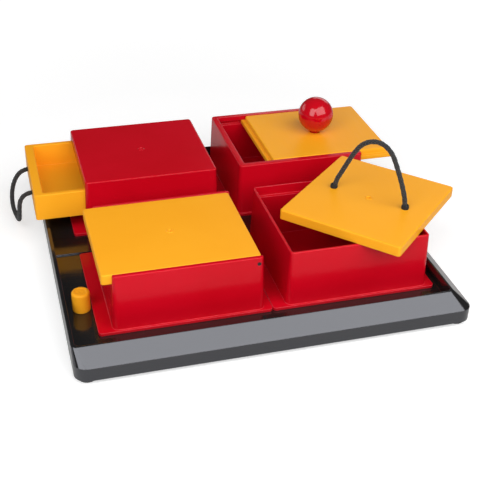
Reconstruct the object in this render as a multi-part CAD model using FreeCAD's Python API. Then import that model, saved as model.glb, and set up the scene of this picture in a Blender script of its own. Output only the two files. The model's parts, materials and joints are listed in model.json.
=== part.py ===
import FreeCAD, Part
import math
import os

os.makedirs("parts", exist_ok=True)

# Driving dimensions of a dog puzzle feeder toy, in millimetres.
# The origin is on the table under the middle of the whole object's box, ropes left aside.
# X points right, Y to the back, Z up.

# Tray
tray_width = 310.0
tray_depth = 310.0
floor_height = 14.0
floor_thickness = 2.5
rim_height = 12.0
edge_height = 10.8
rim_run = 14.0
rim_land = 1.5
tray_wall = 2.5
left_wall = 3.0
tray_corner = 10.0
rim_corner = 4.0
rib_thickness = 2.0
rib_depth = 5.5
band_height = 1.2
band_margin = 7.0

# Feet
foot_radius = 7.5
foot_height = 4.0
foot_inset = 10.0
foot_stud_radius = 3.0
foot_stud_length = 5.0
foot_pad_radius = 8.5

# The four boxes
box_height = 49.0
left_margin = 35.5
right_margin = 25.5
front_margin = 39.5
back_margin = 22.5
gap_x = 21.0
gap_y = 38.0
box_width = (tray_width - left_margin - right_margin - gap_x) / 2
box_depth = (tray_depth - front_margin - back_margin - gap_y) / 2
box_draft = 1.8
box_corner = 3.0
box_wall = 3.0
box_floor = 3.0
box_top = 2.5
flange_thickness = 2.5
flange_left = 12.7
flange_right = 8.0
flange_front = 3.4
flange_back = 3.4
flange_corner = 3.0
edge_round = 1.2
seat_width = 3.0

# Screws that hold the boxes to the tray
screw_inset = 14.0
boss_radius = 4.0
boss_clearance = 0.2
screw_radius = 1.5
screw_length = 4.6
screw_head_radius = 4.5
screw_head_height = 2.2
screw_fit = 0.05

# Lids
lid_thickness = 8.3
lid_skin = 2.5
lid_skirt = 2.5
lid_corner = 2.5
lid_fit = 0.35
dimple_radius = 2.2
dimple_depth = 0.4
gate_radius = 0.8
gate_depth = 1.2

# Flap lid and its hinge pin
flap_rim = 3.0
flap_lip = 8.0
pin_radius = 1.5
pin_fit = 0.05
pin_inset = 3.8
pin_drop = 5.5
knuckle_width = 8.0
knuckle_radius = 3.2
flap_sweep_room = 1.2
flap_seat_room = 0.3

# Sliding lid with the ball knob
slide_rim = 5.0
groove_depth = 3.0
groove_height = 4.0
slide_plate = 3.6
slide_step = 3.0
slide_end_step = 3.0
slide_out = 26.6
slide_fit = 0.3
ball_radius = 16.2
ball_neck_radius = 5.0
ball_neck = 1.0
knob_screw_radius = 1.75
knob_screw_length = 14.0
knob_screw_head_radius = 4.0
knob_screw_head_height = 2.0
knob_head_room = 0.2
knob_boss_radius = 6.5

# Lift-off lid with the rope handle; it lies shifted and turned on the rim of its box
lift_rim = 1.6
lift_edge = 0.8
lift_shift_x = 25.7
lift_shift_y = -0.2
lift_lid_turn = 43.5
handle_reach = 31.5

# Drawer
drawer_height = 23.5
drawer_end_room = 6.0
drawer_front = 7.5
drawer_side = 4.5
drawer_floor = 3.0
drawer_out = 42.0
drawer_base = 30.5
drawer_fit = 0.5
runner_fit = 0.3
runner_width = 6.0
runner_thickness = 3.0
drawer_corner = 2.5
drawer_hole_spread = 22.0
drawer_hole_height = 13.0
drawer_width = box_depth - 2 * (box_wall + drawer_fit)
drawer_length = box_width - drawer_end_room

# Ropes
rope_radius = 2.0
rope_hole_radius = 2.5
knot_radius = 4.2
knot_gap = 0.3
drawer_knot_radius = 3.0
drawer_knot_pocket = 5.5
drawer_pocket_radius = 3.4
collar_radius = 3.6
collar_height = 2.2

# Peg
peg_radius = 7.0
peg_height = 16.5
peg_from_left = 15.0
peg_from_front = 74.0
peg_spigot_radius = 3.5
peg_spigot_length = 5.5
peg_fit = 0.06
peg_round = 1.0

# Heights and places worked out from the sizes above
floor_z = floor_height
floor_under = floor_height - floor_thickness
rim_z = floor_height + rim_height
edge_z = foot_height + edge_height
column_step = box_width + gap_x
lift_half_x = box_width / 2 - lift_edge
lift_half_y = box_depth / 2 - lift_edge
turn_cos = math.cos(math.radians(lift_lid_turn))
turn_sin = math.sin(math.radians(lift_lid_turn))
lift_corner_x = lift_half_x * turn_cos + lift_half_y * turn_sin - lid_corner * (turn_cos + turn_sin - 1)
right_reach = left_margin + column_step + box_width / 2 + lift_shift_x + lift_corner_x
left_reach = left_margin - box_draft / 2 - drawer_out
left_x = -(left_reach + right_reach) / 2
right_x = left_x + tray_width
front_y = -tray_depth / 2
back_y = tray_depth / 2
top_z = floor_z + box_height
seat_z = top_z - lid_thickness
column_x = [left_x + left_margin, left_x + left_margin + column_step]
row_y = [front_y + front_margin, front_y + front_margin + box_depth + gap_y]
pin_x = column_x[0] + box_width - pin_inset
pin_z = top_z - pin_drop
drawer_x = column_x[0] - box_draft / 2 - drawer_out
drawer_mid_y = row_y[1] + box_depth / 2
drawer_top = drawer_base + drawer_height
lift_lid_x = column_x[1] + box_width / 2 + lift_shift_x
lift_lid_y = row_y[0] + box_depth / 2 + lift_shift_y
peg_x = left_x + peg_from_left
peg_y = front_y + peg_from_front


def vec(x, y, z):
    return FreeCAD.Vector(x, y, z)


def block(x0, y0, z0, x1, y1, z1):
    return Part.makeBox(x1 - x0, y1 - y0, z1 - z0, vec(x0, y0, z0))


def post(x, y, z0, z1, radius):
    return Part.makeCylinder(radius, z1 - z0, vec(x, y, z0), vec(0, 0, 1))


def rod_x(x0, x1, y, z, radius):
    return Part.makeCylinder(radius, x1 - x0, vec(x0, y, z), vec(1, 0, 0))


def rod_y(x, y0, y1, z, radius):
    return Part.makeCylinder(radius, y1 - y0, vec(x, y0, z), vec(0, 1, 0))


def round_outline(x0, y0, x1, y1, z, radius):
    r = radius
    k = r * (1 - math.sqrt(0.5))
    edges = [
        Part.LineSegment(vec(x0 + r, y0, z), vec(x1 - r, y0, z)),
        Part.Arc(vec(x1 - r, y0, z), vec(x1 - k, y0 + k, z), vec(x1, y0 + r, z)),
        Part.LineSegment(vec(x1, y0 + r, z), vec(x1, y1 - r, z)),
        Part.Arc(vec(x1, y1 - r, z), vec(x1 - k, y1 - k, z), vec(x1 - r, y1, z)),
        Part.LineSegment(vec(x1 - r, y1, z), vec(x0 + r, y1, z)),
        Part.Arc(vec(x0 + r, y1, z), vec(x0 + k, y1 - k, z), vec(x0, y1 - r, z)),
        Part.LineSegment(vec(x0, y1 - r, z), vec(x0, y0 + r, z)),
        Part.Arc(vec(x0, y0 + r, z), vec(x0 + k, y0 + k, z), vec(x0 + r, y0, z)),
    ]
    return Part.Wire([edge.toShape() for edge in edges])


def round_block(x0, y0, z0, x1, y1, z1, radius):
    """Upright block with round corners."""
    face = Part.Face(round_outline(x0, y0, x1, y1, z0, radius))
    return face.extrude(vec(0, 0, z1 - z0))


def round_taper(low, high, low_radius, high_radius):
    """Loft between two rectangles with round corners, each (x0, y0, x1, y1, z)."""
    wires = [round_outline(*low, low_radius), round_outline(*high, high_radius)]
    return Part.makeLoft(wires, True, True)


def fuse_all(shapes):
    body = shapes[0].multiFuse(shapes[1:])
    return body.removeSplitter()


def edges_at_height(shape, z):
    """Edges that lie flat at height z."""
    picked = []
    for edge in shape.Edges:
        box = edge.BoundBox
        if abs(box.ZMin - z) < 0.001 and abs(box.ZMax - z) < 0.001:
            picked.append(edge)
    return picked


def export(shape, name):
    shape.exportStep("parts/" + name + ".step")
    print(name, "solids", len(shape.Solids), "volume", round(shape.Volume / 1000.0, 2), "cm3")


# Tray with sloped rims at the front, the right and the back, and an upright left side
def tray_rim_block(inset, rise, grow):
    """Outer form of the tray, drawn in by inset, its rim moved down by rise."""
    x0 = left_x + inset
    x1 = right_x - inset
    y0 = front_y + inset
    y1 = back_y - inset
    run = rim_run - rim_land
    base = round_block(x0, y0, foot_height - grow, x1, y1, edge_z - rise, tray_corner - inset)
    low = (x0, y0, x1, y1, edge_z - rise)
    high = (x0, y0 + run, x1 - run, y1 - run, rim_z - rise)
    return base.fuse(round_taper(low, high, tray_corner - inset, rim_corner))


def tray_well(grow, bottom):
    """Space inside the rims."""
    return round_block(
        left_x + left_wall - grow,
        front_y + rim_run - grow,
        bottom,
        right_x - rim_run + grow,
        back_y - rim_run + grow,
        rim_z + 1,
        rim_corner,
    )


def foot_places():
    xs = [left_x + foot_inset, right_x - foot_inset]
    ys = [front_y + foot_inset, back_y - foot_inset]
    return [("front_left", xs[0], ys[0]), ("front_right", xs[1], ys[0]),
            ("rear_left", xs[0], ys[1]), ("rear_right", xs[1], ys[1])]


def screw_places(x0, y0):
    xs = [x0 + screw_inset, x0 + box_width - screw_inset]
    ys = [y0 + screw_inset, y0 + box_depth - screw_inset]
    return [(x, y) for x in xs for y in ys]


def base_tray():
    outer = tray_rim_block(0, 0, 0)
    well = tray_well(0, floor_z)
    hollow = tray_rim_block(tray_wall, tray_wall, 1).cut(tray_well(tray_wall, floor_under))
    tray = outer.cut(well).cut(hollow)
    extras = []
    mid_x = column_x[1] - gap_x / 2
    mid_y = row_y[1] - gap_y / 2
    rib_z = floor_under - rib_depth
    half = rib_thickness / 2
    reach = tray_wall / 2
    extras.append(block(mid_x - half, front_y + reach, rib_z, mid_x + half, back_y - reach, floor_under))
    extras.append(block(left_x + reach, mid_y - half, rib_z, right_x - reach, mid_y + half, floor_under))
    for name, x, y in foot_places():
        extras.append(post(x, y, foot_height, floor_under, foot_pad_radius).common(outer))
    y_low = row_y[0] + box_depth + band_margin
    y_high = row_y[1] - band_margin
    x_high = right_x - rim_run
    extras.append(block(left_x + left_wall, y_low, floor_z, x_high, y_high, floor_z + band_height))
    tray = fuse_all([tray] + extras)
    cuts = []
    for x0 in column_x:
        for y0 in row_y:
            for x, y in screw_places(x0, y0):
                cuts.append(post(x, y, 0, floor_z + 1, boss_radius + boss_clearance))
    for name, x, y in foot_places():
        cuts.append(post(x, y, 0, foot_height + foot_stud_length, foot_stud_radius))
    cuts.append(post(peg_x, peg_y, 0, rim_z, peg_spigot_radius + peg_fit))
    return tray.cut(Part.makeCompound(cuts))


def foot(x, y):
    pad = post(x, y, 0, foot_height, foot_radius)
    pad = pad.makeFillet(1.0, edges_at_height(pad, 0))
    return pad.fuse(post(x, y, foot_height, foot_height + foot_stud_length, foot_stud_radius))


# Boxes
def box_outer(x0, y0):
    """Tapered outside of a box with its foot flange."""
    x1 = x0 + box_width
    y1 = y0 + box_depth
    d = box_draft
    low = (x0 - d, y0 - d, x1 + d, y1 + d, floor_z)
    high = (x0, y0, x1, y1, top_z)
    shell = round_taper(low, high, box_corner + d, box_corner)
    shell = shell.makeFillet(edge_round, edges_at_height(shell, top_z))
    flange = round_block(x0 - flange_left, y0 - flange_front, floor_z,
                         x1 + flange_right, y1 + flange_back, floor_z + flange_thickness, flange_corner)
    return shell.fuse(flange)


def box_inside(x0, y0, inset, z0, z1):
    """Upright space inside a box, its walls inset from the box's top outline."""
    radius = max(box_corner - inset, 0.8)
    x1 = x0 + box_width - inset
    y1 = y0 + box_depth - inset
    return round_block(x0 + inset, y0 + inset, z0, x1, y1, z1, radius)


def box_bosses(x0, y0):
    return [post(x, y, floor_under, floor_z, boss_radius) for x, y in screw_places(x0, y0)]


def box_screw_holes(x0, y0, shape):
    holes = [post(x, y, floor_under, floor_under + screw_length + screw_fit, screw_radius + screw_fit)
             for x, y in screw_places(x0, y0)]
    return shape.cut(Part.makeCompound(holes))


def open_box(x0, y0, rim):
    """Box open at the top, with a seat for its lid inside the rim."""
    box = box_outer(x0, y0)
    box = box.cut(box_inside(x0, y0, rim + seat_width, floor_z + box_floor, top_z + 1))
    box = box.cut(box_inside(x0, y0, rim, seat_z, top_z + 1))
    box = fuse_all([box] + box_bosses(x0, y0))
    return box_screw_holes(x0, y0, box)


def rope_box():
    return open_box(column_x[1], row_y[0], lift_rim)


def flap_box():
    x0 = column_x[0]
    y0 = row_y[0]
    x1 = x0 + box_width
    y1 = y0 + box_depth
    box = open_box(x0, y0, flap_rim)
    far = 20.0
    box = box.cut(block(x0 - far, y0 + flap_rim, seat_z, x0 + far, y1 - flap_rim, top_z + far))
    sweep = math.hypot(pin_inset, pin_drop) + flap_sweep_room
    box = box.cut(block(pin_x - sweep, y0 + flap_rim, pin_z - sweep, x1 + far, y1 - flap_rim, top_z + far))
    return box.cut(rod_y(pin_x, y0 - far, y1 + far, pin_z, pin_radius + pin_fit))


def slide_box():
    x0 = column_x[1]
    y0 = row_y[1]
    x1 = x0 + box_width
    y1 = y0 + box_depth
    far = 20.0
    box = box_outer(x0, y0)
    box = box.cut(box_inside(x0, y0, slide_rim, floor_z + box_floor, top_z + far))
    side = slide_rim - groove_depth
    groove = block(x0 + side, y0 + side, seat_z, x1 + far, y1 - side, seat_z + groove_height)
    mouth = block(x1 - far, y0 + slide_rim, seat_z, x1 + far, y1 - slide_rim, top_z + far)
    box = box.cut(groove).cut(mouth)
    box = fuse_all([box] + box_bosses(x0, y0))
    return box_screw_holes(x0, y0, box)


def drawer_box():
    """Closed box with a window in its left wall and runners for the drawer."""
    x0 = column_x[0]
    y0 = row_y[1]
    x1 = x0 + box_width
    y1 = y0 + box_depth
    far = 20.0
    box = box_outer(x0, y0)
    box = box.cut(box_inside(x0, y0, box_wall, floor_z - 1, top_z - box_top))
    y_low = drawer_mid_y - drawer_width / 2 - drawer_fit
    y_high = drawer_mid_y + drawer_width / 2 + drawer_fit
    window_low = drawer_base - runner_fit
    window_high = drawer_top + drawer_fit
    box = box.cut(block(x0 - far, y_low, window_low, x0 + far, y_high, window_high))
    runners = []
    for z0 in [window_low - runner_thickness, window_high]:
        z1 = z0 + runner_thickness
        runners.append(block(x0 + 1, y0 + 1, z0, x1 - 1, y0 + box_wall + runner_width, z1))
        runners.append(block(x0 + 1, y1 - box_wall - runner_width, z0, x1 - 1, y1 - 1, z1))
    posts = [post(x, y, floor_under, floor_z + 8.0, boss_radius) for x, y in screw_places(x0, y0)]
    webs = []
    for x, y in screw_places(x0, y0):
        wall_y = y0 + 1 if y < drawer_mid_y else y1 - 1
        webs.append(block(x - 1, min(y, wall_y), floor_z, x + 1, max(y, wall_y), floor_z + 8.0))
    box = fuse_all([box] + runners + posts + webs)
    box = cut_gate(box, x0 + box_width / 2, y0 + box_depth / 2, top_z)
    return box_screw_holes(x0, y0, box)


def screws(x0, y0):
    group = []
    for x, y in screw_places(x0, y0):
        head = post(x, y, floor_under - screw_head_height, floor_under, screw_head_radius)
        head = head.makeFillet(0.8, edges_at_height(head, floor_under - screw_head_height))
        shank = post(x, y, floor_under, floor_under + screw_length, screw_radius)
        slot_low = floor_under - screw_head_height - 1
        slot = block(x - 2.4, y - 0.5, slot_low, x + 2.4, y + 0.5, floor_under - 1.2)
        group.append(head.fuse(shank).cut(slot))
    return Part.makeCompound(group)


# Lids
def cut_gate(shape, x, y, z):
    """Shallow round dimple with a small gate mark in the middle of a moulding."""
    dimple = post(x, y, z - dimple_depth, z + 1, dimple_radius)
    gate = post(x, y, z - gate_depth, z + 1, gate_radius)
    return shape.cut(dimple).cut(gate)


def shell_lid(x0, y0, x1, y1):
    """Lid with a top skin and a skirt, hollow from below."""
    z0 = top_z - lid_thickness
    lid = round_block(x0, y0, z0, x1, y1, top_z, lid_corner)
    lid = lid.makeFillet(edge_round, edges_at_height(lid, top_z))
    s = lid_skirt
    return lid.cut(round_block(x0 + s, y0 + s, z0 - 1, x1 - s, y1 - s, top_z - lid_skin, 0.8))


def flap_lid():
    y0 = row_y[0] + flap_rim + lid_fit
    y1 = row_y[0] + box_depth - flap_rim - lid_fit
    x0 = column_x[0] - flap_lip
    x1 = column_x[0] + box_width - edge_round
    z0 = top_z - lid_thickness + flap_seat_room
    lid = round_block(x0, y0, z0, x1, y1, top_z, lid_corner)
    lid = lid.makeFillet(edge_round, edges_at_height(lid, top_z))
    hollow_x0 = column_x[0] + 12.0
    hollow_x1 = pin_x - knuckle_radius - lid_skirt
    s = lid_skirt
    hollow = round_block(hollow_x0, y0 + s, z0 - 1, hollow_x1, y1 - s, top_z - lid_skin, 0.8)
    relief = block(pin_x - knuckle_radius, y0 + knuckle_width, z0 - 1,
                   x1 + 1, y1 - knuckle_width, top_z - lid_skin)
    lid = lid.cut(hollow).cut(relief)
    lid = cut_gate(lid, column_x[0] + box_width / 2 - flap_lip / 2, (y0 + y1) / 2, top_z)
    return lid.cut(rod_y(pin_x, y0 - 1, y1 + 1, pin_z, pin_radius + pin_fit))


def flap_pin():
    y0 = row_y[0]
    return rod_y(pin_x, y0 - 0.3, y0 + box_depth + 0.3, pin_z, pin_radius)


def ball_lid():
    x0 = column_x[1] + slide_rim - groove_depth + slide_fit + slide_out
    y0 = row_y[1] + slide_rim - groove_depth + slide_fit
    y1 = row_y[1] + box_depth - slide_rim + groove_depth - slide_fit
    x1 = column_x[1] + box_width + slide_out + 1.0
    z0 = seat_z + slide_fit
    z1 = z0 + slide_plate
    plate = round_block(x0, y0, z0, x1 + slide_end_step, y1, z1, 1.5)
    inner = slide_step + 2 * slide_fit
    top = round_block(x0 + slide_end_step, y0 + inner, z1, x1, y1 - inner, top_z, lid_corner)
    top = top.makeFillet(edge_round, edges_at_height(top, top_z))
    s = slide_step + lid_skirt + 3.0
    hollow = round_block(x0 + s, y0 + s, z0 - 1, x1 - s, y1 - s, top_z - lid_skin, 0.8)
    mid_x = (x0 + slide_end_step + x1) / 2
    mid_y = (y0 + y1) / 2
    boss = post(mid_x, mid_y, z0, top_z - lid_skin, knob_boss_radius)
    lid = fuse_all([plate, top]).cut(hollow)
    lid = fuse_all([lid, boss])
    head_seat = z0 + knob_screw_head_height + knob_head_room
    lid = lid.cut(post(mid_x, mid_y, z0 - 1, head_seat, knob_screw_head_radius + knob_head_room))
    lid = lid.cut(post(mid_x, mid_y, z0, top_z + 5, knob_screw_radius + screw_fit))
    return lid, mid_x, mid_y, head_seat


def ball_knob(x, y):
    z = top_z + ball_neck + ball_radius
    ball = Part.makeSphere(ball_radius, vec(x, y, z))
    ball = ball.fuse(post(x, y, top_z, z, ball_neck_radius)).removeSplitter()
    return ball.cut(post(x, y, top_z - 1, top_z + knob_screw_length, knob_screw_radius + screw_fit))


def knob_screw(x, y, z0):
    """Screw of the ball knob, its head sunk in the lid with its seat at z0."""
    head = post(x, y, z0 - knob_screw_head_height, z0, knob_screw_head_radius)
    shank = post(x, y, z0, top_z + knob_screw_length - 1.0, knob_screw_radius)
    cross = [block(x - 2.2, y - 0.5, z0 - 3, x + 2.2, y + 0.5, z0 - 1),
             block(x - 0.5, y - 2.2, z0 - 3, x + 0.5, y + 2.2, z0 - 1)]
    return head.fuse(shank).cut(Part.makeCompound(cross))


# The lift-off lid lies turned on the rim of its box
def turn_lift_lid(shape):
    """Move a shape from the lid's own middle to where the lid lies."""
    shape = shape.copy()
    shape.rotate(vec(0, 0, 0), vec(0, 0, 1), lift_lid_turn)
    shape.translate(vec(lift_lid_x, lift_lid_y, 0))
    return shape


def lift_lid():
    lid = shell_lid(-lift_half_x, -lift_half_y, lift_half_x, lift_half_y)
    lid = cut_gate(lid, 0, 0, top_z)
    for side in (-1, 1):
        y = side * handle_reach
        lid = lid.fuse(post(0, y, top_z - lid_skin - 2.0, top_z - lid_skin, knot_radius + 1.0))
        lid = lid.cut(post(0, y, 0, top_z + 1, rope_hole_radius))
    lid = lid.removeSplitter()
    lid.translate(vec(0, 0, lid_thickness))
    return turn_lift_lid(lid)


# Drawer
def drawer():
    x0 = drawer_x
    x1 = drawer_x + drawer_length
    y0 = drawer_mid_y - drawer_width / 2
    y1 = drawer_mid_y + drawer_width / 2
    tray = round_block(x0, y0, drawer_base, x1, y1, drawer_top, drawer_corner)
    inner = round_block(x0 + drawer_front, y0 + drawer_side, drawer_base + drawer_floor,
                        x1 - drawer_side, y1 - drawer_side, drawer_top + 1, 2.0)
    tray = tray.cut(inner)
    tray = tray.makeFillet(0.8, edges_at_height(tray, drawer_top))
    for side in (-1, 1):
        y = drawer_mid_y + side * drawer_hole_spread
        z = drawer_base + drawer_hole_height
        tray = tray.cut(rod_x(x0 - 1, x0 + drawer_front + 1, y, z, rope_hole_radius))
        pocket_x = x0 + drawer_front - drawer_knot_pocket
        tray = tray.cut(rod_x(pocket_x, x0 + drawer_front + 1, y, z, drawer_pocket_radius))
    return tray


# Ropes: each runs along its chosen points, with straight runs joined by tangent arcs
def rope_wire(points):
    """Wire through the points with its corners rounded; prints the radii."""
    edges = []
    radii = []
    start = points[0]
    for index in range(1, len(points) - 1):
        before = points[index - 1].sub(points[index])
        after = points[index + 1].sub(points[index])
        turn = math.pi - before.getAngle(after)
        cut = 0.45 * min(before.Length, after.Length)
        radius = cut / math.tan(turn / 2)
        radii.append(round(radius, 1))
        u = before.normalize()
        v = after.normalize()
        a = points[index].add(vec(u.x * cut, u.y * cut, u.z * cut))
        b = points[index].add(vec(v.x * cut, v.y * cut, v.z * cut))
        middle = u.add(v).normalize()
        centre_distance = radius / math.cos(turn / 2)
        reach = centre_distance - radius
        m = points[index].add(vec(middle.x * reach, middle.y * reach, middle.z * reach))
        edges.append(Part.LineSegment(start, a).toShape())
        edges.append(Part.Arc(a, m, b).toShape())
        start = b
    edges.append(Part.LineSegment(start, points[-1]).toShape())
    print("rope radii", radii)
    return Part.Wire(edges)


def rope(points, name):
    wire = rope_wire(points)
    start = points[0]
    heading = points[1].sub(points[0])
    circle = Part.Wire(Part.makeCircle(rope_radius, start, heading))
    tube = wire.makePipeShell([circle], True, False)
    length = wire.Length
    section = math.pi * rope_radius ** 2
    print(name, "length", round(length, 1), "volume ratio", round(tube.Volume / (section * length), 4))
    return tube


def handle_points():
    """Arch of the lid's rope handle, in the lid's own frame with the lid's top at top_z."""
    z = top_z + lid_thickness
    knot_z = z - lid_skin - 2.0 - knot_gap - knot_radius
    return [
        vec(0, handle_reach, knot_z),
        vec(0, handle_reach, z + 4),
        vec(0.5, handle_reach - 6, z + 17),
        vec(1.5, handle_reach - 13, z + 33),
        vec(2, handle_reach - 21, z + 46),
        vec(2, -3, z + 51),
        vec(1.5, -handle_reach + 17, z + 45),
        vec(1, -handle_reach + 10, z + 31),
        vec(0.5, -handle_reach + 4, z + 17),
        vec(0, -handle_reach, z + 4),
        vec(0, -handle_reach, knot_z),
    ]


def lid_rope():
    return turn_lift_lid(rope(handle_points(), "lid_rope"))


def lid_rope_knots():
    z = top_z + lid_thickness - lid_skin - 2.0 - knot_gap - knot_radius
    knots = [Part.makeSphere(knot_radius, vec(0, side * handle_reach, z)) for side in (-1, 1)]
    return turn_lift_lid(Part.makeCompound(knots))


def lid_rope_collars():
    """Short sleeves round the rope where it leaves the lid."""
    z = top_z + lid_thickness
    collars = []
    for side in (-1, 1):
        y = side * handle_reach
        ring = post(0, y, z, z + collar_height, collar_radius)
        collars.append(ring.cut(post(0, y, z - 1, z + collar_height + 1, rope_hole_radius)))
    return turn_lift_lid(Part.makeCompound(collars))


def drawer_rope_points():
    """Loop that hangs from the drawer's front wall."""
    x = drawer_x
    z = drawer_base + drawer_hole_height
    y_back = drawer_mid_y + drawer_hole_spread
    y_front = drawer_mid_y - drawer_hole_spread
    knot_x = x + drawer_front - drawer_knot_pocket + knot_gap + drawer_knot_radius
    return [
        vec(knot_x, y_back, z),
        vec(x - 5, y_back, z),
        vec(x - 13, y_back - 3, z - 8),
        vec(x - 17, y_back - 6, z - 21),
        vec(x - 17, y_back - 13, z - 32),
        vec(x - 14, y_back - 25, z - 36),
        vec(x - 13, y_front + 8, z - 31),
        vec(x - 12.5, y_front + 2, z - 18),
        vec(x - 11, y_front, z - 6),
        vec(x - 4, y_front, z),
        vec(knot_x, y_front, z),
    ]


def drawer_rope():
    return rope(drawer_rope_points(), "drawer_rope")


def drawer_rope_knots():
    z = drawer_base + drawer_hole_height
    x = drawer_x + drawer_front - drawer_knot_pocket + knot_gap + drawer_knot_radius
    middles = [vec(x, drawer_mid_y + side * drawer_hole_spread, z) for side in (-1, 1)]
    return Part.makeCompound([Part.makeSphere(drawer_knot_radius, middle) for middle in middles])


def peg():
    body = post(peg_x, peg_y, floor_z, floor_z + peg_height, peg_radius)
    body = body.makeFillet(peg_round, edges_at_height(body, floor_z + peg_height))
    return body.fuse(post(peg_x, peg_y, floor_z - peg_spigot_length, floor_z, peg_spigot_radius))


print("left edge of the tray at x", round(left_x, 3), "drawer front at x", round(drawer_x, 3))
export(base_tray(), "base_tray")
for place, foot_x, foot_y in foot_places():
    export(foot(foot_x, foot_y), "foot_" + place)
export(drawer_box(), "drawer_box")
export(slide_box(), "slide_box")
export(flap_box(), "flap_box")
export(rope_box(), "rope_box")
export(screws(column_x[0], row_y[1]), "drawer_box_screws")
export(screws(column_x[1], row_y[1]), "slide_box_screws")
export(screws(column_x[0], row_y[0]), "flap_box_screws")
export(screws(column_x[1], row_y[0]), "rope_box_screws")
export(drawer(), "drawer")
export(drawer_rope(), "drawer_rope")
export(drawer_rope_knots(), "drawer_rope_knots")
export(flap_lid(), "flap_lid")
export(flap_pin(), "flap_hinge_pin")
slide_lid, knob_x, knob_y, head_seat = ball_lid()
export(slide_lid, "ball_lid")
export(ball_knob(knob_x, knob_y), "ball_knob")
export(knob_screw(knob_x, knob_y, head_seat), "ball_knob_screw")
export(lift_lid(), "rope_lid")
export(lid_rope(), "lid_rope")
export(lid_rope_knots(), "lid_rope_knots")
export(lid_rope_collars(), "lid_rope_collars")
export(peg(), "peg")
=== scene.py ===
import json
import math

import bmesh
import bpy
from mathutils import Matrix, Vector


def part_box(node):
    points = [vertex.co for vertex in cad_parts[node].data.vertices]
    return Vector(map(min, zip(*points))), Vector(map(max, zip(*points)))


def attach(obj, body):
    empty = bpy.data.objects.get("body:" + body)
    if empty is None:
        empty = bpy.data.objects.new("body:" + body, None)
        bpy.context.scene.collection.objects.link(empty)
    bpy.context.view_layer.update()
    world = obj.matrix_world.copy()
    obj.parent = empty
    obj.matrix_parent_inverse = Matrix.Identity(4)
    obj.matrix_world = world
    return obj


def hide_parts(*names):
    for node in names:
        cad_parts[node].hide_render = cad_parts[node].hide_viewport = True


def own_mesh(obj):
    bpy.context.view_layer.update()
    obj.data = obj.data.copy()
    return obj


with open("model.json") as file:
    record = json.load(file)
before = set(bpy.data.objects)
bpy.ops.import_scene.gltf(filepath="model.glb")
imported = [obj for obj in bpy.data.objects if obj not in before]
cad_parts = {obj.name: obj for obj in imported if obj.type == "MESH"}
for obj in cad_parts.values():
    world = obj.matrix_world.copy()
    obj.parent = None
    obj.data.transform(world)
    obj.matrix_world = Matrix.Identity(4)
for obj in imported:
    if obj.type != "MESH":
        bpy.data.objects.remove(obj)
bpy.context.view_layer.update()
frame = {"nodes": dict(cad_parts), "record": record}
print("toy loaded:", len(frame["nodes"]), "nodes")

trayLow, trayHigh = (Vector(corner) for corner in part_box("base_tray"))
trayMiddle = Vector(((trayLow.x + trayHigh.x) / 2, (trayLow.y + trayHigh.y) / 2, 0))


def fromTray(x, y, z=0.0):
    # places are given from the middle of the tray, in metres
    return trayMiddle + Vector((x, y, z))


# Camera, at the photograph's angle
cameraSet = {
    "place": (-0.1905, -0.6806, 0.4531),
    "yaw": 16.33,    # degrees, looking along +Y and turned to the right
    "pitch": 32.29,  # looking down
    "roll": 1.57,
    "lens": 71.55,
    "sensor": 36.0,
    "near": 0.01,
    "far": 30,
}


def placeCamera(look):
    yaw, pitch, roll = (math.radians(look[k]) for k in ("yaw", "pitch", "roll"))
    ahead = Vector((math.sin(yaw) * math.cos(pitch), math.cos(yaw) * math.cos(pitch), -math.sin(pitch)))
    side = Vector((math.cos(yaw), -math.sin(yaw), 0))
    above = side.cross(ahead)
    right = side * math.cos(roll) + above * math.sin(roll)
    up = above * math.cos(roll) - side * math.sin(roll)
    data = bpy.data.cameras.new("camera")
    data.lens = look["lens"]
    data.sensor_width = look["sensor"]
    data.clip_start = look["near"]
    data.clip_end = look["far"]
    cam = bpy.data.objects.new("camera", data)
    bpy.context.collection.objects.link(cam)
    turn = Matrix((right, up, -ahead)).transposed().to_4x4()
    cam.matrix_world = Matrix.Translation(fromTray(*look["place"])) @ turn
    bpy.context.scene.camera = cam


placeCamera(cameraSet)
print("camera placed")


# Small helpers for meshes
def linkMesh(name, bm, smooth=True):
    mesh = bpy.data.meshes.new(name)
    bm.to_mesh(mesh)
    bm.free()
    for face in mesh.polygons:
        face.use_smooth = smooth
    piece = bpy.data.objects.new(name, mesh)
    bpy.context.collection.objects.link(piece)
    return piece


onAxis = 1e-6  # a smaller radius is one point on the axis


def turnProfile(bm, profile, steps=64, place=Matrix.Identity(4)):
    # profile is (radius, height) rows from the bottom up, turned about Z
    rings = []
    for radius, height in profile:
        if radius < onAxis:
            rings.append([bm.verts.new(place @ Vector((0, 0, height)))])
            continue
        ring = []
        for i in range(steps):
            a = 2 * math.pi * i / steps
            ring.append(bm.verts.new(place @ Vector((radius * math.cos(a), radius * math.sin(a), height))))
        rings.append(ring)
    for low, high in zip(rings, rings[1:]):
        for i in range(steps):
            j = (i + 1) % steps
            if len(low) == 1:
                bm.faces.new((low[0], high[j], high[i]))
            elif len(high) == 1:
                bm.faces.new((low[i], low[j], high[0]))
            else:
                bm.faces.new((low[i], low[j], high[j], high[i]))


def roundTurn(rows, radius, steps=4, share=0.45):
    # rounds each inner corner of a turned profile, with at most a share of each side
    out = [rows[0]]
    for before, corner, after in zip(rows, rows[1:], rows[2:]):
        c = Vector(corner)
        a, b = Vector(before) - c, Vector(after) - c
        r = min(radius, a.length * share, b.length * share)
        start, end = c + a.normalized() * r, c + b.normalized() * r
        for i in range(steps + 1):
            t = i / steps
            out.append(tuple(start * (1 - t) ** 2 + c * 2 * t * (1 - t) + end * t ** 2))
    out.append(rows[-1])
    return out


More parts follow.
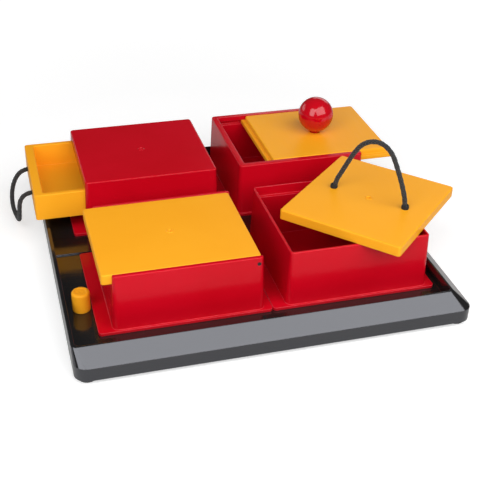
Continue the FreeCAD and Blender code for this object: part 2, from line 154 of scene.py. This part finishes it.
# Ropes: braided cord, laid along the route's own line
ropeSet = {
    "thick": 0.004,
    "strands": 4,         # each way round
    "turn": 0.0115,       # one strand's turn, along the rope
    "strandWide": 0.00078,
    "strandDeep": 0.00036,
    "weave": 0.00013,
    "step": 0.0006,
    "coreIn": 2.2,        # how far the core stays inside, in strand depths
    "coreSides": 12,
    "shift": 0.4,         # radians between the two ways round
    "strandRound": (0, 1.05, 2.09, 3.14, 4.19, 5.24),
    "fine": 24,           # points between two of a route's own
}

lidRoute = {
    "turned": 43.5,
    "at": (0.0982, -0.0632),
    "points": [(0, 0.0315, 0.0623), (0, 0.0315, 0.0753), (0.0005, 0.0255, 0.0883), (0.0015, 0.0185, 0.1043),
               (0.002, 0.0105, 0.1173), (0.002, -0.003, 0.1223), (0.0015, -0.0145, 0.1163),
               (0.001, -0.0215, 0.1023), (0.0005, -0.0275, 0.0883), (0, -0.0315, 0.0753), (0, -0.0315, 0.0623)],
}

drawerRoute = {
    "points": [(-0.1571, 0.102, 0.0435), (-0.1674, 0.102, 0.0435), (-0.1754, 0.099, 0.0355),
               (-0.1794, 0.096, 0.0225), (-0.1794, 0.089, 0.0115), (-0.1764, 0.077, 0.0075),
               (-0.1754, 0.066, 0.0125), (-0.1749, 0.060, 0.0255), (-0.1734, 0.058, 0.0375),
               (-0.1664, 0.058, 0.0435), (-0.1571, 0.058, 0.0435)],
}


def ropeLine(points, fine):
    # the smooth line through a route, as Blender's own NURBS spline gives it
    curve = bpy.data.curves.new("ropeLine", "CURVE")
    curve.dimensions = "3D"
    spline = curve.splines.new("NURBS")
    spline.points.add(len(points) - 1)
    for dot, p in zip(spline.points, points):
        dot.co = (*p, 1)
    spline.order_u = 3
    spline.use_endpoint_u = True
    spline.resolution_u = fine
    holder = bpy.data.objects.new("ropeLine", curve)
    bpy.context.collection.objects.link(holder)
    bpy.context.view_layer.update()
    mesh = bpy.data.meshes.new_from_object(holder)
    line = [v.co.copy() for v in mesh.vertices]
    bpy.data.objects.remove(holder)
    bpy.data.meshes.remove(mesh)
    bpy.data.curves.remove(curve)
    return line


def evenLine(line, step):
    # the same line with its points a fixed step apart
    walked = [0.0]
    for a, b in zip(line, line[1:]):
        walked.append(walked[-1] + (b - a).length)
    count = max(8, round(walked[-1] / step))
    out, k = [], 0
    for i in range(count + 1):
        s = walked[-1] * i / count
        while k < len(line) - 2 and walked[k + 1] < s:
            k += 1
        t = (s - walked[k]) / max(walked[k + 1] - walked[k], 1e-9)
        out.append(line[k].lerp(line[k + 1], min(max(t, 0), 1)))
    return out, walked[-1]


def alongLine(line):
    # two directions across the line at each point, carried along without twist
    frames = []
    across = None
    for i, p in enumerate(line):
        ahead = (line[min(i + 1, len(line) - 1)] - line[max(i - 1, 0)]).normalized()
        if across is None:
            across = ahead.cross(Vector((0.3, 0.2, 0.93))).normalized()
        across = (across - ahead * across.dot(ahead)).normalized()
        frames.append((p, across.copy(), ahead.cross(across)))
    return frames


def sweep(bm, rings):
    # skins a row of rings of points, closed at both ends
    made = [[bm.verts.new(p) for p in ring] for ring in rings]
    n = len(made[0])
    for a, b in zip(made, made[1:]):
        for i in range(n):
            j = (i + 1) % n
            bm.faces.new((a[i], a[j], b[j], b[i]))
    bm.faces.new(list(reversed(made[0])))
    bm.faces.new(made[-1])


def braidRope(name, points, look):
    line, length = evenLine(ropeLine(points, look["fine"]), look["step"])
    frames = alongLine(line)
    bm = bmesh.new()
    core = look["thick"] / 2 - look["coreIn"] * look["strandDeep"]
    ringOf = [2 * math.pi * i / look["coreSides"] for i in range(look["coreSides"])]
    sweep(bm, [[p + u * core * math.cos(a) + v * core * math.sin(a) for a in ringOf]
               for p, u, v in frames])
    middle = look["thick"] / 2 - look["strandDeep"]
    for way in (-1, 1):
        for strand in range(look["strands"]):
            start = 2 * math.pi * strand / look["strands"] + (look["shift"] if way > 0 else 0)
            rings = []
            for i, (p, u, v) in enumerate(frames):
                s = length * i / (len(frames) - 1)
                turn = 2 * math.pi * s / look["turn"]
                a = start + way * turn
                lift = math.sin(turn * look["strands"] + strand * math.pi + (math.pi if way > 0 else 0))
                r = middle + look["weave"] * lift
                out = u * math.cos(a) + v * math.sin(a)
                along = frames[min(i + 1, len(frames) - 1)][0] - frames[max(i - 1, 0)][0]
                around = (v * math.cos(a) - u * math.sin(a)) * way * r * 2 * math.pi / look["turn"]
                ahead = (along.normalized() + around).normalized()
                wide = ahead.cross(out).normalized()
                rings.append([p + out * (r + look["strandDeep"] * math.sin(b))
                              + wide * look["strandWide"] * math.cos(b) for b in look["strandRound"]])
            sweep(bm, rings)
    return linkMesh(name, bm), line, length


def overhandKnot(bm, middle, size, thick, look, tip=Matrix.Identity(3)):
    # one round of a three-lobed knot, pulled tight
    steps, sides = look["steps"], look["sides"]
    line = []
    for i in range(steps):
        t = 2 * math.pi * i / steps
        p = Vector((math.sin(t) + 2 * math.sin(2 * t), math.cos(t) - 2 * math.cos(2 * t),
                    -look["deep"] * math.sin(3 * t)))
        line.append(middle + tip @ (p * size / 3))
    rings = []
    for i, p in enumerate(line):
        ahead = (line[(i + 1) % steps] - line[i - 1]).normalized()
        out = (p - middle).normalized()
        u = (out - ahead * out.dot(ahead)).normalized()
        v = ahead.cross(u)
        twist = look["twists"] * 2 * math.pi * i / steps
        ring = []
        for k in range(sides):
            b = 2 * math.pi * k / sides
            r = thick / 2 * (1 + look["ply"] * math.cos(3 * b + twist))
            ring.append(bm.verts.new(p + u * r * math.cos(b) + v * r * math.sin(b)))
        rings.append(ring)
    for i in range(steps):
        a, b = rings[i], rings[(i + 1) % steps]
        for k in range(sides):
            j = (k + 1) % sides
            bm.faces.new((a[k], a[j], b[j], b[k]))


def lidPoint(x, y, z):
    # from the lift-off lid's own place to where it lies, shifted and turned
    a = math.radians(lidRoute["turned"])
    return fromTray(lidRoute["at"][0] + x * math.cos(a) - y * math.sin(a),
                    lidRoute["at"][1] + x * math.sin(a) + y * math.cos(a), z)


lidPoints = [lidPoint(*p) for p in lidRoute["points"]]
drawerPoints = [fromTray(*p) for p in drawerRoute["points"]]
lidRope, lidLine, lidLength = braidRope("lidRopeBraid", lidPoints, ropeSet)
drawerRope, drawerLine, drawerLength = braidRope("drawerRopeBraid", drawerPoints, ropeSet)

# Knots: under the lid, and in the drawer's front wall
knotSet = {
    "steps": 90,
    "sides": 12,
    "deep": 1.25,
    "twists": 6,
    "ply": 0.07,          # how far the twisted plies stand out
    "lidHole": 0.0315,    # from the lid's middle
    "lidHeight": 0.0623,
    "lidSize": 0.0029,
    "lidThick": 0.0026,
    "drawerMiddle": (-0.1571, 0.08, 0.0435),
    "drawerHole": 0.022,  # from the drawer's middle
    "drawerSize": 0.0020,
    "drawerThick": 0.0019,
}

bm = bmesh.new()
for side in (-1, 1):
    overhandKnot(bm, lidPoint(0, side * knotSet["lidHole"], knotSet["lidHeight"]), knotSet["lidSize"],
                 knotSet["lidThick"], knotSet)
lidKnots = linkMesh("lidRopeKnots", bm)
bm = bmesh.new()
for side in (-1, 1):
    x, y, z = knotSet["drawerMiddle"]
    overhandKnot(bm, fromTray(x, y + side * knotSet["drawerHole"], z), knotSet["drawerSize"],
                 knotSet["drawerThick"], knotSet, Matrix.Rotation(math.pi / 2, 3, "Y"))
drawerKnots = linkMesh("drawerRopeKnots", bm)

# Short sleeves where the handle enters the lid
sleeveSet = {"out": 0.0031, "in": 0.0021, "tall": 0.0034, "foot": 0.0713, "footEase": 0.0002, "footTop": 0.0008,
             "shoulder": 0.0027, "shoulderEase": 0.0001, "lip": 0.0005, "mouth": 0.0001, "mouthDrop": 0.0004,
             "round": 0.0004, "sides": 40}


def sleeveWall(look):
    return [(look["in"], 0), (look["out"] - look["footEase"], 0), (look["out"], look["footTop"]),
            (look["out"] - look["shoulderEase"], look["shoulder"]), (look["in"] + look["lip"], look["tall"]),
            (look["in"] + look["mouth"], look["tall"] - look["mouthDrop"]), (look["in"], 0)]


bm = bmesh.new()
for side in (-1, 1):
    at = lidPoint(0, side * knotSet["lidHole"], sleeveSet["foot"])
    turnProfile(bm, roundTurn(sleeveWall(sleeveSet), sleeveSet["round"]), sleeveSet["sides"],
                Matrix.Translation(at))
lidSleeves = linkMesh("lidRopeSleeves", bm)

for piece, body, node in ((lidRope, "lift_lid", "lid_rope"), (lidKnots, "lift_lid", "lid_rope_knots"),
                          (lidSleeves, "lift_lid", "lid_rope_collars"), (drawerRope, "drawer", "drawer_rope"),
                          (drawerKnots, "drawer", "drawer_rope_knots")):
    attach(piece, body)
    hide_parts(node)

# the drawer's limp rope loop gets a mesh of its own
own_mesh(drawerRope)
print("ropes laid:", round(lidLength, 4), round(drawerLength, 4))


# Materials
def nodeSetter(mat):
    nodes, links = mat.node_tree.nodes, mat.node_tree.links

    def make(kind, **values):
        node = nodes.new(kind)
        for key, value in values.items():
            if hasattr(node, key):
                setattr(node, key, value)
            else:
                node.inputs[key.replace("_", " ")].default_value = value
        return node

    return make, links.new


def stretched(make, link, factor):
    # the toy's own coordinates in metres, drawn out along one way
    place = make("ShaderNodeTexCoord")
    scale = make("ShaderNodeMapping")
    scale.inputs["Scale"].default_value = factor
    link(place.outputs["Object"], scale.inputs["Vector"])
    return scale.outputs["Vector"]


# what the moulded plastics share
mouldSet = {
    "cloudDetail": 3.0, "cloudRough": 0.55, "deepAt": 0.3, "colourAt": 0.7,
    "bevelRays": 6, "flat": 0.995, "turned": 0.80,  # how far the rounded normal leans at an edge
    "highlightDetail": 2.0,
    "rubDetail": 4.0, "rubRough": 0.7, "rubFrom": 0.35, "rubTo": 0.75,
    "grainDetail": 2.0, "grainHigh": 0.00004, "sinkDetail": 1.0, "sinkHigh": 0.0006,
}


def mouldedPlastic(name, look, base=mouldSet):
    # glossy moulded plastic: cloudy colour, fine skin, hairline rubs, and a painted highlight along rounded
    # edges
    mat = bpy.data.materials.new(name)
    mat.use_nodes = True
    make, link = nodeSetter(mat)
    skin = mat.node_tree.nodes["Principled BSDF"]
    where = stretched(make, link, (1, 1, 1))

    cloud = make("ShaderNodeTexNoise", Scale=look["cloudScale"], Detail=base["cloudDetail"],
                 Roughness=base["cloudRough"])
    link(where, cloud.inputs["Vector"])
    shade = make("ShaderNodeValToRGB")
    shade.color_ramp.elements[0].position = base["deepAt"]
    shade.color_ramp.elements[0].color = (*look["deep"], 1)
    shade.color_ramp.elements[1].position = base["colourAt"]
    shade.color_ramp.elements[1].color = (*look["colour"], 1)
    link(cloud.outputs["Fac"], shade.inputs["Fac"])

    # rounded edges are lightened towards the pale edge colour and broken up by noise: a painted highlight along
    # rims and edges
    soft = make("ShaderNodeBevel", samples=base["bevelRays"], Radius=look["edgeRound"])
    true = make("ShaderNodeNewGeometry")
    along = make("ShaderNodeVectorMath", operation="DOT_PRODUCT")
    link(soft.outputs["Normal"], along.inputs[0])
    link(true.outputs["Normal"], along.inputs[1])
    edge = make("ShaderNodeMapRange")
    edge.inputs["From Min"].default_value = base["flat"]
    edge.inputs["From Max"].default_value = base["turned"]
    edge.inputs["To Max"].default_value = look["edgeHighlightShare"]
    link(along.outputs["Value"], edge.inputs["Value"])
    highlightMottle = make("ShaderNodeTexNoise", Scale=look["highlightScale"], Detail=base["highlightDetail"])
    link(where, highlightMottle.inputs["Vector"])
    paintedHighlight = make("ShaderNodeMath", operation="MULTIPLY")
    link(edge.outputs["Result"], paintedHighlight.inputs[0])
    link(highlightMottle.outputs["Fac"], paintedHighlight.inputs[1])
    paint = make("ShaderNodeMixRGB")
    link(paintedHighlight.outputs["Value"], paint.inputs["Fac"])
    link(shade.outputs["Color"], paint.inputs["Color1"])
    paint.inputs["Color2"].default_value = (*look["edge"], 1)
    link(paint.outputs["Color"], skin.inputs["Base Color"])

    hair = make("ShaderNodeTexNoise", Scale=look["rubScale"], Detail=base["rubDetail"],
                Roughness=base["rubRough"])
    link(stretched(make, link, look["rubWay"]), hair.inputs["Vector"])
    dull = make("ShaderNodeMapRange")
    dull.inputs["From Min"].default_value = base["rubFrom"]
    dull.inputs["From Max"].default_value = base["rubTo"]
    dull.inputs["To Min"].default_value = look["gloss"][0]
    dull.inputs["To Max"].default_value = look["gloss"][1]
    link(hair.outputs["Fac"], dull.inputs["Value"])
    link(dull.outputs["Result"], skin.inputs["Roughness"])

    grain = make("ShaderNodeTexNoise", Scale=look["grainScale"], Detail=base["grainDetail"])
    link(where, grain.inputs["Vector"])
    sink = make("ShaderNodeTexNoise", Scale=look["sinkScale"], Detail=base["sinkDetail"])
    link(where, sink.inputs["Vector"])
    wave = make("ShaderNodeBump", Strength=look["sink"], Distance=base["sinkHigh"])
    link(sink.outputs["Fac"], wave.inputs["Height"])
    link(soft.outputs["Normal"], wave.inputs["Normal"])
    rough = make("ShaderNodeBump", Strength=look["grain"], Distance=base["grainHigh"])
    link(grain.outputs["Fac"], rough.inputs["Height"])
    link(wave.outputs["Normal"], rough.inputs["Normal"])
    link(rough.outputs["Normal"], skin.inputs["Normal"])

    skin.inputs["Specular IOR Level"].default_value = look["shine"]
    skin.inputs["Coat Weight"].default_value = look["coat"]
    skin.inputs["Coat Roughness"].default_value = look["coatRough"]
    if look.get("tint"):
        skin.inputs["Specular Tint"].default_value = (*look["tint"], 1)
    return mat


# the edge colour and its share give the painted highlight along rounded edges
redLook = {
    "colour": (0.575, 0.0022, 0.0125), "deep": (0.53, 0.0016, 0.0090), "edge": (0.92, 0.12, 0.16),
    "cloudScale": 14.0, "edgeRound": 0.0009, "edgeHighlightShare": 0.85, "highlightScale": 160.0,
    "rubScale": 60.0, "rubWay": (1, 8, 8), "gloss": (0.15, 0.27),
    "grainScale": 1500.0, "grain": 0.10, "sinkScale": 18.0, "sink": 0.05,
    "shine": 0.17, "coat": 0.04, "coatRough": 0.08,
}
ballLook = dict(redLook, colour=(0.56, 0.0016, 0.0110), deep=(0.52, 0.0012, 0.0090), gloss=(0.10, 0.14),
                shine=0.55, coat=0.0, grain=0.03, sink=0.02)
orangeLook = {
    "colour": (0.97, 0.415, 0.018), "deep": (0.94, 0.385, 0.014), "edge": (1.0, 0.58, 0.10),
    "cloudScale": 11.0, "edgeRound": 0.0008, "edgeHighlightShare": 0.7, "highlightScale": 140.0,
    "rubScale": 55.0, "rubWay": (7, 1, 7), "gloss": (0.34, 0.48),
    "grainScale": 1100.0, "grain": 0.32, "sinkScale": 14.0, "sink": 0.05,
    "shine": 0.11, "coat": 0.0, "coatRough": 0.2,
}
blackLook = {
    "colour": (0.0120, 0.0112, 0.0110), "deep": (0.0080, 0.0075, 0.0075), "edge": (0.06, 0.06, 0.065),
    "cloudScale": 9.0, "edgeRound": 0.0008, "edgeHighlightShare": 0.8, "highlightScale": 120.0,
    "rubScale": 45.0, "rubWay": (1, 6, 6), "gloss": (0.10, 0.20),
    "grainScale": 1600.0, "grain": 0.05, "sinkScale": 16.0, "sink": 0.05,
    "shine": 1.0, "coat": 0.0, "coatRough": 0.1, "tint": (0.90, 0.92, 1.0),
}

redPlastic = mouldedPlastic("redPlastic", redLook)
redBall = mouldedPlastic("redBall", ballLook)
orangePlastic = mouldedPlastic("orangePlastic", orangeLook)
blackPlastic = mouldedPlastic("blackPlastic", blackLook)


def braidedCotton(name, look):
    mat = bpy.data.materials.new(name)
    mat.use_nodes = True
    make, link = nodeSetter(mat)
    skin = mat.node_tree.nodes["Principled BSDF"]
    where = stretched(make, link, (1, 1, 1))
    fibre = make("ShaderNodeTexNoise", Scale=look["fibreScale"], Detail=look["fibreDetail"],
                 Roughness=look["fibreRough"])
    link(where, fibre.inputs["Vector"])
    shade = make("ShaderNodeValToRGB")
    shade.color_ramp.elements[0].position = look["darkAt"]
    shade.color_ramp.elements[0].color = (*look["dark"], 1)
    shade.color_ramp.elements[1].position = look["paleAt"]
    shade.color_ramp.elements[1].color = (*look["pale"], 1)
    link(fibre.outputs["Fac"], shade.inputs["Fac"])
    link(shade.outputs["Color"], skin.inputs["Base Color"])
    fuzz = make("ShaderNodeMapRange")
    fuzz.inputs["To Min"].default_value = look["fuzz"][0]
    fuzz.inputs["To Max"].default_value = look["fuzz"][1]
    link(fibre.outputs["Fac"], fuzz.inputs["Value"])
    link(fuzz.outputs["Result"], skin.inputs["Roughness"])
    yarn = make("ShaderNodeBump", Strength=look["yarn"], Distance=look["yarnHigh"])
    link(fibre.outputs["Fac"], yarn.inputs["Height"])
    link(yarn.outputs["Normal"], skin.inputs["Normal"])
    skin.inputs["Sheen Weight"].default_value = look["sheen"]
    skin.inputs["Sheen Roughness"].default_value = look["sheenRough"]
    skin.inputs["Specular IOR Level"].default_value = look["shine"]
    return mat


ropeLook = {
    "fibreScale": 2600.0, "fibreDetail": 5.0, "fibreRough": 0.7, "dark": (0.014, 0.014, 0.015),
    "pale": (0.050, 0.050, 0.052), "darkAt": 0.3, "paleAt": 0.72, "fuzz": (0.72, 0.95), "yarn": 0.6,
    "yarnHigh": 0.0001, "sheen": 0.25, "sheenRough": 0.5, "shine": 0.2,
}
sleeveLook = dict(ropeLook, fibreScale=1800.0, dark=(0.012, 0.012, 0.012), pale=(0.030, 0.030, 0.032),
                  sheen=0.1)

ropeMaterial = braidedCotton("ropeBraid", ropeLook)
sleeveMaterial = braidedCotton("ropeSleeve", sleeveLook)


def feetRubber(look):
    mat = bpy.data.materials.new("feetRubber")
    mat.use_nodes = True
    make, link = nodeSetter(mat)
    skin = mat.node_tree.nodes["Principled BSDF"]
    where = stretched(make, link, (1, 1, 1))
    dust = make("ShaderNodeTexNoise", Scale=look["dustScale"], Detail=look["dustDetail"])
    link(where, dust.inputs["Vector"])
    shade = make("ShaderNodeValToRGB")
    shade.color_ramp.elements[0].color = (*look["dark"], 1)
    shade.color_ramp.elements[1].color = (*look["dusty"], 1)
    link(dust.outputs["Fac"], shade.inputs["Fac"])
    link(shade.outputs["Color"], skin.inputs["Base Color"])
    pores = make("ShaderNodeTexVoronoi", Scale=look["poreScale"])
    link(where, pores.inputs["Vector"])
    dents = make("ShaderNodeBump", Strength=look["pore"], Distance=look["poreDeep"])
    link(pores.outputs["Distance"], dents.inputs["Height"])
    link(dents.outputs["Normal"], skin.inputs["Normal"])
    skin.inputs["Roughness"].default_value = look["rough"]
    skin.inputs["Specular IOR Level"].default_value = look["shine"]
    return mat


rubberLook = {
    "dustScale": 220.0, "dustDetail": 4.0, "dark": (0.010, 0.010, 0.010), "dusty": (0.045, 0.044, 0.042),
    "poreScale": 1300.0, "pore": 0.25, "poreDeep": 0.00008, "rough": 0.62, "shine": 0.35,
}
rubberMaterial = feetRubber(rubberLook)


def plainMetal(name, look):
    mat = bpy.data.materials.new(name)
    mat.use_nodes = True
    make, link = nodeSetter(mat)
    skin = mat.node_tree.nodes["Principled BSDF"]
    streak = make("ShaderNodeTexNoise", Scale=look["streakScale"], Detail=look["streakDetail"])
    link(stretched(make, link, look["streakWay"]), streak.inputs["Vector"])
    shade = make("ShaderNodeValToRGB")
    shade.color_ramp.elements[0].color = (*look["dark"], 1)
    shade.color_ramp.elements[1].color = (*look["pale"], 1)
    link(streak.outputs["Fac"], shade.inputs["Fac"])
    link(shade.outputs["Color"], skin.inputs["Base Color"])
    dull = make("ShaderNodeMapRange")
    dull.inputs["To Min"].default_value = look["rough"][0]
    dull.inputs["To Max"].default_value = look["rough"][1]
    link(streak.outputs["Fac"], dull.inputs["Value"])
    link(dull.outputs["Result"], skin.inputs["Roughness"])
    marks = make("ShaderNodeBump", Strength=look["mark"], Distance=look["markDeep"])
    link(streak.outputs["Fac"], marks.inputs["Height"])
    link(marks.outputs["Normal"], skin.inputs["Normal"])
    skin.inputs["Metallic"].default_value = 1.0
    return mat


zincLook = {
    "streakScale": 300.0, "streakDetail": 5.0, "streakWay": (1, 1, 12), "dark": (0.40, 0.40, 0.41),
    "pale": (0.66, 0.66, 0.66), "rough": (0.25, 0.45), "mark": 0.15, "markDeep": 0.00005,
}
pinLook = dict(zincLook, streakScale=400.0, dark=(0.03, 0.028, 0.028), pale=(0.10, 0.09, 0.09),
               rough=(0.35, 0.55))

zincSteel = plainMetal("zincSteel", zincLook)
darkPin = plainMetal("darkPin", pinLook)

finishOf = {"black_plastic": blackPlastic, "red_plastic": redPlastic, "orange_plastic": orangePlastic,
            "rope": ropeMaterial, "rubber": rubberMaterial, "steel": zincSteel, "dark_pin": darkPin}


def dress(piece, mat):
    if not piece.material_slots:
        piece.data.materials.append(mat)
    for place in piece.material_slots:
        place.material = mat


slotOf = {part["node"]: part["material_slot"] for part in frame["record"]["subparts"]}
for nodeName, piece in frame["nodes"].items():
    dress(piece, finishOf[slotOf[nodeName]])
for piece in (lidRope, drawerRope, lidKnots, drawerKnots):
    dress(piece, ropeMaterial)
dress(lidSleeves, sleeveMaterial)
print("materials made:", len(bpy.data.materials))


# Ball knob on the sliding lid
ballSet = {
    "at": (0.102247, 0.080, 0.0802), "radius": 0.0162, "neck": 0.005, "foot": 0.063,
    "neckEase": 0.0006, "neckUnder": 0.0004, "seam": 0.00006, "seamWide": 0.02, "steps": 60, "sides": 96,
}


def ballKnob(look):
    rows = [(0, look["foot"] - look["at"][2]), (look["neck"], look["foot"] - look["at"][2])]
    low = math.acos((look["neck"] + look["neckEase"]) / look["radius"])
    rows.append((look["neck"], -math.sin(low) * look["radius"] - look["neckUnder"]))
    for i in range(look["steps"] + 1):
        a = -low + (math.pi / 2 + low) * i / look["steps"]
        r = look["radius"] - look["seam"] + look["seam"] * math.exp(-(a / look["seamWide"]) ** 2)
        rows.append((max(r * math.cos(a), 0), r * math.sin(a)))
    rows[-1] = (0, look["radius"] - look["seam"])
    bm = bmesh.new()
    turnProfile(bm, rows, look["sides"], Matrix.Translation(fromTray(*look["at"])))
    return linkMesh("ballKnob", bm)


ball = ballKnob(ballSet)
dress(ball, redBall)
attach(ball, "slide_lid")
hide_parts("ball_knob")
print("ball knob turned")

# Peg at the left edge
pegSet = {
    "at": (-0.140, -0.081), "foot": 0.014, "top": 0.0305, "radius": 0.007,
    "spigot": 0.0035, "spigotLow": 0.0085, "spigotEase": 0.0005, "spigotChamfer": 0.0006,
    "footEase": 0.0002, "footChamfer": 0.0006, "topChamfer": 0.0012, "topEase": 0.0010,
    "rim": 0.0026, "dish": 0.0030, "dishDeep": 0.00035, "gate": 0.0012, "gateIn": 0.0008, "gateDeep": 0.0006,
    "round": 0.0007, "roundSteps": 5, "sides": 64,
}


def pegPiece(look):
    bm = bmesh.new()
    r, low, foot, top = look["radius"], look["spigotLow"], look["foot"], look["top"]
    rows = [(0, low), (look["spigot"] - look["spigotEase"], low), (look["spigot"], low + look["spigotChamfer"]),
            (look["spigot"], foot), (r - look["footEase"], foot), (r, foot + look["footChamfer"]),
            (r, top - look["topChamfer"]), (r - look["topEase"], top), (r - look["rim"], top),
            (r - look["dish"], top - look["dishDeep"]), (look["gate"], top - look["dishDeep"]),
            (look["gateIn"], top - look["gateDeep"]), (0, top - look["gateDeep"])]
    turnProfile(bm, roundTurn(rows, look["round"], look["roundSteps"]), look["sides"],
                Matrix.Translation(fromTray(*look["at"])))
    return linkMesh("pegPiece", bm)


pegTurned = pegPiece(pegSet)
dress(pegTurned, orangePlastic)
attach(pegTurned, "peg")
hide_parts("peg")
print("peg turned")

# Feet: rubber pads with a ring groove under them
footSet = {
    "radius": 0.0075, "height": 0.004, "groove": 0.0045, "grooveDeep": 0.0006, "grooveIn": 0.0004,
    "grooveOut": 0.0007, "edge": 0.0012, "edgeIn": 0.0003, "edgeHigh": 0.0007, "sideHigh": 0.0018,
    "stud": 0.003, "studTall": 0.005, "round": 0.0003, "roundSteps": 3, "sides": 56,
}


def footPiece(name, node, look):
    low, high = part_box(node)
    at = ((low[0] + high[0]) / 2, (low[1] + high[1]) / 2, 0)
    r, g, d, h = look["radius"], look["groove"], look["grooveDeep"], look["height"]
    rows = [(0, 0), (g - look["grooveOut"], 0), (g - look["grooveIn"], d), (g + look["grooveIn"], d),
            (g + look["grooveOut"], 0), (r - look["edge"], 0), (r - look["edgeIn"], look["edgeHigh"]),
            (r, look["sideHigh"]), (r, h), (look["stud"], h), (look["stud"], h + look["studTall"]),
            (0, h + look["studTall"])]
    bm = bmesh.new()
    turnProfile(bm, roundTurn(rows, look["round"], look["roundSteps"]), look["sides"], Matrix.Translation(at))
    piece = linkMesh(name, bm)
    dress(piece, rubberMaterial)
    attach(piece, "tray")
    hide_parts(node)


for corner in ("front_left", "front_right", "rear_left", "rear_right"):
    footPiece("rubberFoot_" + corner, "foot_" + corner, footSet)
print("feet made")

# Gate rings: the small bead round each moulding's injection point
ringSet = {"in": 0.0019, "out": 0.0031, "tall": 0.00050, "inEase": 0.0001, "crest": 0.0004, "side": 0.7,
           "foot": 0.00002, "under": 0.0003, "round": 0.0003, "roundSteps": 3, "sides": 40}
ringPlaces = {
    "flapLidGate": {"at": (-0.0665, -0.063, 0.063), "body": "flap", "slot": "orange_plastic"},
    "ropeLidGate": {"at": (*lidRoute["at"], 0.0713), "body": "lift_lid", "slot": "orange_plastic"},
    "drawerBoxGate": {"at": (-0.0625, 0.080, 0.063), "body": "tray", "slot": "red_plastic"},
}


def gateRing(name, place, look):
    shoulder = look["tall"] * look["side"]
    rows = [(look["in"], -look["under"]), (look["in"] + look["inEase"], shoulder),
            (look["in"] + look["crest"], look["tall"]), (look["out"] - look["crest"], shoulder),
            (look["out"], look["foot"]), (look["out"] + look["inEase"], -look["under"])]
    bm = bmesh.new()
    turnProfile(bm, roundTurn(rows, look["round"], look["roundSteps"]), look["sides"],
                Matrix.Translation(fromTray(*place["at"])))
    bmesh.ops.recalc_face_normals(bm, faces=bm.faces)
    ring = linkMesh(name, bm)
    dress(ring, finishOf[place["slot"]])
    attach(ring, place["body"])


for name, place in ringPlaces.items():
    gateRing(name, place, ringSet)
print("gate rings made")

# Floor: white, keeps the toy's shadow
floorSet = {"rings": (0.3, 0.8, 4.0), "sides": 96, "white": 0.70, "glowNear": 0.48, "glowFar": 1.0,
            "nearEdge": 0.35, "farEdge": 1.5}


def whiteFloor(look):
    bm = bmesh.new()
    turnProfile(bm, [(0, 0)] + [(radius, 0) for radius in look["rings"]], look["sides"])
    bmesh.ops.reverse_faces(bm, faces=bm.faces)
    floor = linkMesh("floor", bm, smooth=False)
    mat = bpy.data.materials.new("floorWhite")
    mat.use_nodes = True
    make, link = nodeSetter(mat)
    nodes = mat.node_tree.nodes
    nodes.remove(nodes["Principled BSDF"])
    paper = make("ShaderNodeBsdfDiffuse")
    paper.inputs["Color"].default_value = (look["white"],) * 3 + (1,)
    glow = make("ShaderNodeEmission")
    ray = make("ShaderNodeLightPath")
    spot = make("ShaderNodeTexCoord")
    reach = make("ShaderNodeVectorMath", operation="LENGTH")
    link(spot.outputs["Object"], reach.inputs[0])
    fade = make("ShaderNodeMapRange")
    fade.inputs["From Min"].default_value = look["nearEdge"]
    fade.inputs["From Max"].default_value = look["farEdge"]
    fade.inputs["To Min"].default_value = look["glowNear"]
    fade.inputs["To Max"].default_value = look["glowFar"]
    link(reach.outputs["Value"], fade.inputs["Value"])
    share = make("ShaderNodeMath", operation="MULTIPLY")  # the white is for the camera alone
    link(ray.outputs["Is Camera Ray"], share.inputs[0])
    link(fade.outputs["Result"], share.inputs[1])
    link(share.outputs["Value"], glow.inputs["Strength"])
    both = make("ShaderNodeAddShader")
    link(paper.outputs["BSDF"], both.inputs[0])
    link(glow.outputs["Emission"], both.inputs[1])
    link(both.outputs["Shader"], nodes["Material Output"].inputs["Surface"])
    dress(floor, mat)


whiteFloor(floorSet)

# Light: two window-shaped softboxes in front, two low ones behind
lampSet = {
    "windowLeft": {"azimuth": -47, "height": 37, "far": 1.25, "wide": 0.8, "tall": 1.1, "watts": 9.4},
    "windowRight": {"azimuth": 24, "height": 44, "far": 1.25, "wide": 1.45, "tall": 1.1, "watts": 16.2},
    "backLeft": {"azimuth": -140, "height": 18, "far": 1.25, "wide": 0.8, "tall": 0.4, "watts": 1.5},
    "backRight": {"azimuth": 145, "height": 18, "far": 1.25, "wide": 0.8, "tall": 0.4, "watts": 1.5},
}
aim = fromTray(0, 0, 0.03)
for lampName, look in lampSet.items():
    lamp = bpy.data.lights.new(lampName, "AREA")
    lamp.shape = "RECTANGLE"
    lamp.size = look["wide"]
    lamp.size_y = look["tall"]
    lamp.energy = look["watts"]
    holder = bpy.data.objects.new(lampName, lamp)
    bpy.context.collection.objects.link(holder)
    a, e = math.radians(look["azimuth"]), math.radians(look["height"])
    way = Vector((math.sin(a) * math.cos(e), -math.cos(a) * math.cos(e), math.sin(e)))
    holder.location = aim + way * look["far"]
    holder.rotation_euler = way.to_track_quat("Z", "Y").to_euler()

worldSet = {"fill": 0.065, "seen": 1.0}
world = bpy.data.worlds.new("studio")
bpy.context.scene.world = world
world.use_nodes = True
worldNodes, worldLinks = world.node_tree.nodes, world.node_tree.links
sky = worldNodes["Background"]
sky.inputs["Color"].default_value = (1, 1, 1, 1)
ray = worldNodes.new("ShaderNodeLightPath")
level = worldNodes.new("ShaderNodeMapRange")
level.inputs["To Min"].default_value = worldSet["fill"]
level.inputs["To Max"].default_value = worldSet["seen"]
worldLinks.new(ray.outputs["Is Camera Ray"], level.inputs["Value"])
worldLinks.new(level.outputs["Result"], sky.inputs["Strength"])
bpy.context.scene.view_settings.view_transform = "Standard"
print("floor and light set")
